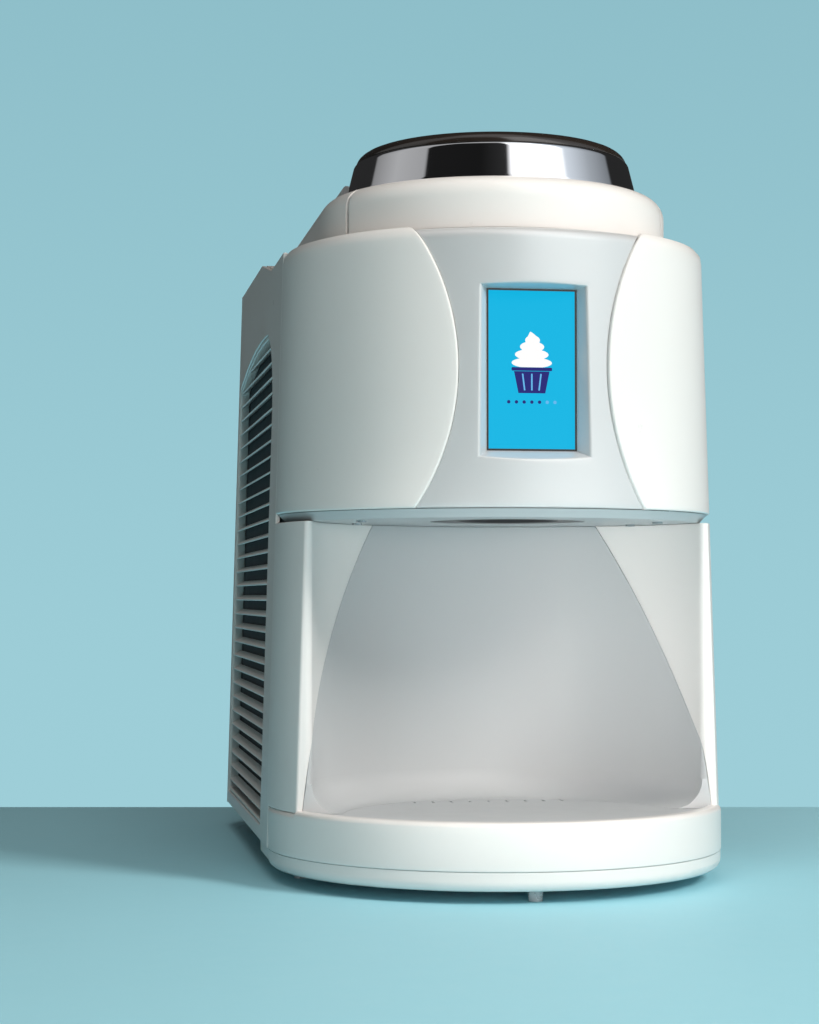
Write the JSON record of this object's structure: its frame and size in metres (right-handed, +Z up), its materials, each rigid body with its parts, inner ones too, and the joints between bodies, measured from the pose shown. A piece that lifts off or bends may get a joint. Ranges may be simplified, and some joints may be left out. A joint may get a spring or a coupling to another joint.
{
  "type": "soft serve machine",
  "caption": "Countertop soft serve machine: round-fronted body with a display over an open dispensing bay, hinged lid over a chilling well, louvred sides and an outlet above a lift-out tray.",
  "frame": {"origin": "middle of the overall box in plan, on the plane under the feet", "axes": "+Z up; -Y is the front, with the display and the bay; +X is the right-hand side for someone facing the front"},
  "size_m": [0.2868, 0.504, 0.4555],
  "materials": {
    "white_shell": "warm white moulded plastic, satin to gloss",
    "vent_white": "white moulded louvres, satin",
    "silver_fascia": "cool light silver plastic, satin",
    "screen": "lit display behind clear glass",
    "black_plastic": "black moulded plastic",
    "grey_plastic": "mid grey moulded plastic, satin",
    "clear_foot": "milky clear soft foot",
    "sheet_steel": "grey painted sheet steel",
    "cup_aluminium": "machined aluminium",
    "copper_tube": "bright copper tube",
    "foam": "black closed-cell foam",
    "lid_chrome": "mirror chrome",
    "lid_dark": "deep dark gloss",
    "lid_white": "white moulded plastic",
    "seal_rubber": "dark grey food-grade rubber",
    "machined_steel": "machined steel",
    "nozzle_plastic": "light grey food-grade plastic",
    "compressor_black": "black painted steel",
    "condenser_alu": "thin aluminium fins",
    "board_green": "green solder mask",
    "switch_red": "red translucent rocker"
  },
  "bodies": {
    "machine_body": {"left_front_panel": "white_shell", "right_front_panel": "white_shell", "centre_fascia": "silver_fascia", "display_frame": "silver_fascia", "display_glass": "screen", "display_module": "black_plastic", "front_collar": "white_shell", "top_cover": "white_shell", "left_side_panel": "white_shell", "right_side_panel": "white_shell", "left_vent_grille": "vent_white", "right_vent_grille": "vent_white", "left_corner_panel": "white_shell", "right_corner_panel": "white_shell", "rear_panel": "white_shell", "head_underside": "white_shell", "outlet_ring": "black_plastic", "outlet_nozzle": "nozzle_plastic", "shutter_motor": "black_plastic", "left_bay_cheek": "white_shell", "right_bay_cheek": "white_shell", "bay_back_panel": "grey_plastic", "bay_deck": "grey_plastic", "plinth_band": "white_shell", "base_pan": "white_shell", "feet": "clear_foot", "chassis_frame": "sheet_steel", "well_shelf": "sheet_steel", "chilling_well": "cup_aluminium", "evaporator_coil": "copper_tube", "well_insulation": "foam", "well_collar": "grey_plastic", "lid_hinge_brackets": "grey_plastic", "compressor": "compressor_black", "condenser": "condenser_alu", "fan_shroud": "black_plastic", "fan_motor": "sheet_steel", "refrigerant_lines": "copper_tube", "control_board": "board_green", "power_supply": "sheet_steel", "power_inlet": "black_plastic", "ceiling_screws": "machined_steel", "base_screws": "machined_steel"},
    "lid": {"lid_band": "lid_chrome", "lid_top": "lid_dark", "lid_body": "lid_white", "lid_seal": "seal_rubber", "lid_hinge_pin": "machined_steel", "mixer_motor": "black_plastic", "lid_latch_pad": "black_plastic"},
    "mixer_drive": {"mixer_gear": "machined_steel"},
    "mixer_motor_pinion": {"mixer_pinion": "machined_steel"},
    "fan": {"fan_rotor": "black_plastic"},
    "shutter": {"outlet_shutter": "black_plastic"},
    "shutter_drive": {"shutter_pinion": "machined_steel"},
    "tray": {"drip_tray": "grey_plastic"},
    "switch": {"power_switch": "switch_red"}
  },
  "joints": [
    {"name": "lid_hinge", "type": "hinge", "parent": "machine_body", "child": "lid", "pos_m": [0, -0.0049, 0.442], "axis": [-1, 0, 0], "range_deg": [0, 75]},
    {"name": "mixer_spin", "type": "hinge", "parent": "lid", "child": "mixer_drive", "pos_m": [0, -0.1544, 0.431], "axis": [0, 0, 1], "continuous": true},
    {"name": "mixer_pinion_spin", "type": "hinge", "parent": "lid", "child": "mixer_motor_pinion", "pos_m": [0, -0.12325, 0.433], "axis": [0, 0, 1], "continuous": true},
    {"name": "fan_spin", "type": "hinge", "parent": "machine_body", "child": "fan", "pos_m": [0, 0.1856, 0.22], "axis": [0, 1, 0], "continuous": true},
    {"name": "outlet_shutter_turn", "type": "hinge", "parent": "machine_body", "child": "shutter", "pos_m": [0, -0.1544, 0.23], "axis": [0, 0, 1], "range_deg": [0, 75]},
    {"name": "shutter_pinion_turn", "type": "hinge", "parent": "machine_body", "child": "shutter_drive", "pos_m": [0.03915, -0.1544, 0.23], "axis": [0, 0, 1], "range_deg": [-251, 1]},
    {"name": "drip_tray_lift", "type": "slide", "parent": "machine_body", "child": "tray", "axis": [0, 0, 1], "range_m": [0, 0.03]},
    {"name": "power_switch_rock", "type": "hinge", "parent": "machine_body", "child": "switch", "pos_m": [-0.02, 0.2442, 0.058], "axis": [1, 0, 0], "range_deg": [-8, 8]}
  ],
  "couplings": [
    {"joint": "mixer_spin", "follows": "mixer_pinion_spin", "ratio": -0.29167},
    {"joint": "shutter_pinion_turn", "follows": "outlet_shutter_turn", "ratio": -3.3333}
  ]
}
